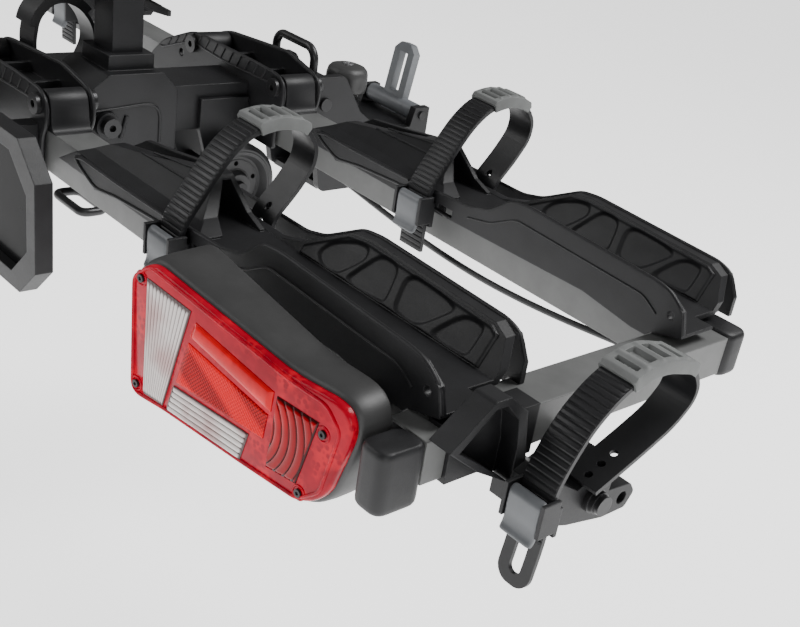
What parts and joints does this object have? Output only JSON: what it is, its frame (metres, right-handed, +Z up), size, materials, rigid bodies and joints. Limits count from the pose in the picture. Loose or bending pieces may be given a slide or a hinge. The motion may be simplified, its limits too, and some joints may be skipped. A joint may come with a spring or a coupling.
{
  "type": "hitch bike rack",
  "caption": "Folding tow-ball bike rack: hinged wings with wheel trays, ladder straps and rear lamps, number plate holder, mast with frame claws, tilting ball clamp.",
  "frame": {"origin": "centre of the tow ball in the coupling's cup", "axes": "+X to the right seen from behind the car, +Y forward towards the car, +Z up"},
  "size_m": [1.212, 0.5377, 0.782],
  "materials": {
    "black_paint": "fine textured black powder coat",
    "grey_paint": "satin dark grey powder coat",
    "black_plastic": "fine grained moulded plastic",
    "grey_plastic": "satin grey moulded plastic",
    "strap_plastic": "flexible ribbed strap plastic",
    "pad_rubber": "soft grey rubber",
    "red_lens": "clear and red prismatic lens",
    "black_gloss": "glossy black panel",
    "wheel_rubber": "dull black wheel",
    "steel": "zinc plated",
    "black_steel": "black bolts"
  },
  "bodies": {
    "coupling": {"coupling_housing": "black_paint", "coupling_cup": "black_paint", "coupling_pins": "steel"},
    "platform": {"center_beam": "black_paint", "near_moulding": "black_plastic", "far_moulding": "black_plastic", "mast_bracket": "black_paint", "mast_tube": "black_paint", "mast_cap": "black_plastic", "center_fasteners": "black_steel", "plate_frame": "black_plastic", "plate_panel": "black_gloss", "wheel_axle": "black_paint", "pedal_hanger": "black_paint", "tie_strap": "strap_plastic"},
    "ball_jaw_body": {"ball_jaw": "steel"},
    "coupling_lever_body": {"coupling_lever": "grey_plastic"},
    "clamp_knob_body": {"clamp_knob": "grey_plastic"},
    "lock_body": {"lock_barrel": "steel"},
    "bail_body": {"bail_handle": "black_steel"},
    "pedal_body": {"foot_pedal": "black_steel"},
    "right_wheel_body": {"right_transport_wheel": "wheel_rubber"},
    "left_wheel_body": {"left_transport_wheel": "wheel_rubber"},
    "near_arm_body": {"near_arm": "black_paint"},
    "near_jaw_body": {"near_jaw": "black_plastic"},
    "near_arm_knob_body": {"near_arm_knob": "black_plastic"},
    "far_arm_body": {"far_arm": "black_paint"},
    "far_jaw_body": {"far_jaw": "black_plastic"},
    "far_arm_knob_body": {"far_arm_knob": "black_plastic"},
    "right_wing": {"right_rails": "grey_paint", "right_crossbeam": "grey_paint", "right_crossbeam_caps": "black_plastic", "right_near_tray": "black_plastic", "right_far_tray": "black_plastic", "right_lamp_housing": "black_plastic", "right_lamp_lens": "red_lens", "right_wheel_holder": "black_plastic", "right_straps": "strap_plastic", "right_strap_pads": "pad_rubber", "right_strap_buckles": "black_plastic", "right_fasteners": "steel", "lamp_lead": "pad_rubber"},
    "right_near_buckle_lever_body": {"right_near_buckle_lever": "grey_plastic"},
    "right_far_buckle_lever_body": {"right_far_buckle_lever": "grey_plastic"},
    "right_outer_buckle_lever_body": {"right_outer_buckle_lever": "grey_plastic"},
    "left_wing": {"left_rails": "grey_paint", "left_crossbeam": "grey_paint", "left_crossbeam_caps": "black_plastic", "left_near_tray": "black_plastic", "left_far_tray": "black_plastic", "left_lamp_housing": "black_plastic", "left_lamp_lens": "red_lens", "left_wheel_holder": "black_plastic", "left_straps": "strap_plastic", "left_strap_pads": "pad_rubber", "left_strap_buckles": "black_plastic", "left_fasteners": "steel"},
    "left_near_buckle_lever_body": {"left_near_buckle_lever": "grey_plastic"},
    "left_far_buckle_lever_body": {"left_far_buckle_lever": "grey_plastic"},
    "left_outer_buckle_lever_body": {"left_outer_buckle_lever": "grey_plastic"}
  },
  "joints": [
    {"name": "platform_tilt", "type": "hinge", "parent": "coupling", "child": "platform", "pos_m": [0, -0.095, 0.067], "axis": [1, 0, 0], "range_deg": [0, 35]},
    {"name": "lever_swing", "type": "hinge", "parent": "coupling", "child": "coupling_lever_body", "pos_m": [0, 0.033, 0.047], "axis": [-1, 0, 0], "range_deg": [0, 70]},
    {"name": "jaw_travel", "type": "slide", "parent": "coupling", "child": "ball_jaw_body", "axis": [0, 1, 0], "range_m": [0, 0.003]},
    {"name": "clamp_knob_turn", "type": "hinge", "parent": "coupling", "child": "clamp_knob_body", "pos_m": [0, -0.035, 0.075], "axis": [0, 0, 1], "continuous": true},
    {"name": "lock_turn", "type": "hinge", "parent": "clamp_knob_body", "child": "lock_body", "pos_m": [0, -0.035, 0.084], "axis": [0, 0, 1], "range_deg": [0, 90]},
    {"name": "bail_swing", "type": "hinge", "parent": "coupling", "child": "bail_body", "pos_m": [0, -0.102, 0.084], "axis": [-1, 0, 0], "range_deg": [0, 80]},
    {"name": "pedal_press", "type": "hinge", "parent": "platform", "child": "pedal_body", "pos_m": [0, -0.262, 0.025], "axis": [1, 0, 0], "range_deg": [0, 20], "stiffness_Nm_per_rad": 0.8, "springref_deg": -20.05},
    {"name": "right_wheel_roll", "type": "hinge", "parent": "platform", "child": "right_wheel_body", "pos_m": [0.048, -0.196, 0.001], "axis": [1, 0, 0], "continuous": true},
    {"name": "left_wheel_roll", "type": "hinge", "parent": "platform", "child": "left_wheel_body", "pos_m": [-0.048, -0.196, 0.001], "axis": [1, 0, 0], "continuous": true},
    {"name": "right_wing_fold", "type": "hinge", "parent": "platform", "child": "right_wing", "pos_m": [0.066, -0.26, 0.095], "axis": [0, -1, 0], "range_deg": [0, 90]},
    {"name": "left_wing_fold", "type": "hinge", "parent": "platform", "child": "left_wing", "pos_m": [-0.066, -0.26, 0.095], "axis": [0, 1, 0], "range_deg": [0, 90]},
    {"name": "near_arm_slide", "type": "slide", "parent": "platform", "child": "near_arm_body", "axis": [0, 0, 1], "range_m": [-0.15, 0.01]},
    {"name": "far_arm_slide", "type": "slide", "parent": "platform", "child": "far_arm_body", "axis": [0, 0, 1], "range_m": [-0.01, 0.05]},
    {"name": "near_jaw_swing", "type": "hinge", "parent": "near_arm_body", "child": "near_jaw_body", "pos_m": [0, -0.4013, 0.5945], "axis": [-1, 0, 0], "range_deg": [0, 60]},
    {"name": "far_jaw_swing", "type": "hinge", "parent": "far_arm_body", "child": "far_jaw_body", "pos_m": [0, -0.1207, 0.6745], "axis": [1, 0, 0], "range_deg": [0, 60]},
    {"name": "near_arm_knob_turn", "type": "hinge", "parent": "near_arm_body", "child": "near_arm_knob_body", "pos_m": [0, -0.25, 0.577], "axis": [0, 1, 0], "continuous": true},
    {"name": "far_arm_knob_turn", "type": "hinge", "parent": "far_arm_body", "child": "far_arm_knob_body", "pos_m": [0, -0.32, 0.657], "axis": [0, 1, 0], "continuous": true},
    {"name": "right_near_buckle_open", "type": "hinge", "parent": "right_wing", "child": "right_near_buckle_lever_body", "pos_m": [0.2805, -0.4125, 0.078], "axis": [-1, 0, 0], "range_deg": [0, 60]},
    {"name": "right_far_buckle_open", "type": "hinge", "parent": "right_wing", "child": "right_far_buckle_lever_body", "pos_m": [0.2805, -0.1925, 0.078], "axis": [-1, 0, 0], "range_deg": [0, 60]},
    {"name": "right_outer_buckle_open", "type": "hinge", "parent": "right_wing", "child": "right_outer_buckle_lever_body", "pos_m": [0.5905, -0.369, 0.044], "axis": [-1, 0, 0], "range_deg": [0, 60]},
    {"name": "left_near_buckle_open", "type": "hinge", "parent": "left_wing", "child": "left_near_buckle_lever_body", "pos_m": [-0.2805, -0.4125, 0.078], "axis": [-1, 0, 0], "range_deg": [0, 60]},
    {"name": "left_far_buckle_open", "type": "hinge", "parent": "left_wing", "child": "left_far_buckle_lever_body", "pos_m": [-0.2805, -0.1925, 0.078], "axis": [-1, 0, 0], "range_deg": [0, 60]},
    {"name": "left_outer_buckle_open", "type": "hinge", "parent": "left_wing", "child": "left_outer_buckle_lever_body", "pos_m": [-0.5905, -0.204, 0.044], "axis": [-1, 0, 0], "range_deg": [0, 60]}
  ],
  "couplings": [
    {"joint": "jaw_travel", "follows": "lever_swing", "m_per_rad": 0.0024}
  ]
}
